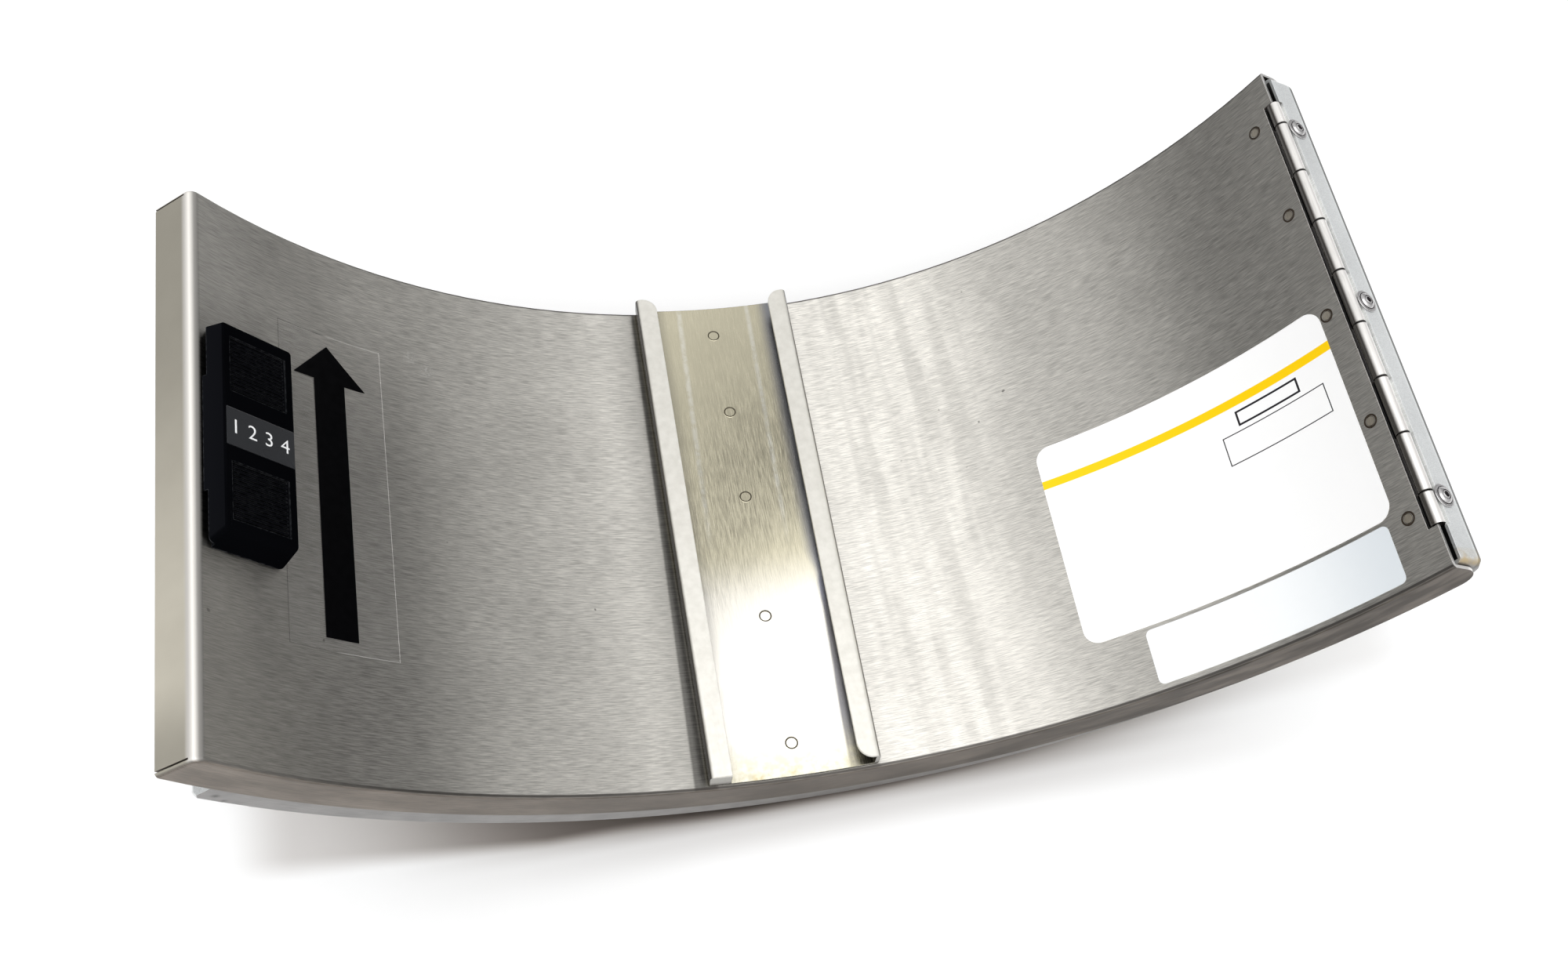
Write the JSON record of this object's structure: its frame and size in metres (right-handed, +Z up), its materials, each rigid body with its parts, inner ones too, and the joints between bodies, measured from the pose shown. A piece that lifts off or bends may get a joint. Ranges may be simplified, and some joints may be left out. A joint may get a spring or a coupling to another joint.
{
  "type": "x-ray film cassette",
  "caption": "Curved rigid x-ray film cassette: aluminium tray, hinged steel cover standing ajar, sliding thumb latch, mounting channel, labels and a direction arrow.",
  "frame": {"origin": "under the middle of the whole object, on the surface that the tray's convex face lies on", "axes": "+X towards the hinge end, +Y along the width (towards the latch block's unlocked end), +Z up"},
  "size_m": [0.2796, 0.141, 0.1007],
  "materials": {
    "tray_metal": "brushed, lightly scuffed",
    "cover_steel": "brushed along the arc",
    "channel_steel": "brushed along its length",
    "hinge_steel": "polished, worn",
    "rivet_metal": "satin",
    "latch_steel": "zinc plated, satin",
    "screen": "smooth white",
    "felt": "black felt",
    "lead": "dull lead foil",
    "foam": "soft black foam",
    "guide_plastic": "smooth black",
    "clear_film": "clear, with a black arrow",
    "label": "white, with a yellow stripe",
    "silver_label": "silvery, satin",
    "latch_plastic": "moulded, fine texture",
    "tape": "embossed tape"
  },
  "bodies": {
    "tray": {"front_tray": "tray_metal", "hinge_leaf_tray": "hinge_steel", "hinge_pin": "hinge_steel", "hinge_rivets": "rivet_metal", "front_screen": "screen", "side_light_seals": "felt", "hinge_light_seal": "felt", "latch_light_seal": "felt", "latch_keepers": "latch_steel", "keeper_rivets": "rivet_metal"},
    "cover": {"cover_shell": "cover_steel", "hinge_leaf_cover": "hinge_steel", "mounting_channel": "channel_steel", "lead_foil": "lead", "pressure_pad": "foam", "rear_screen": "screen", "latch_guide": "guide_plastic", "arrow_film": "clear_film", "main_label": "label", "small_label": "silver_label"},
    "latch": {"latch_block": "latch_plastic", "number_tape": "tape", "latch_bolt": "latch_steel", "latch_studs": "latch_steel"}
  },
  "joints": [
    {"name": "cover_hinge", "type": "hinge", "parent": "tray", "child": "cover", "pos_m": [0.1309, 0, 0.08478], "axis": [0, 1, 0], "range_deg": [-3.4, 102]},
    {"name": "latch_slide", "type": "slide", "parent": "cover", "child": "latch", "axis": [0, 1, 0], "range_m": [-0.0094, 0]}
  ]
}
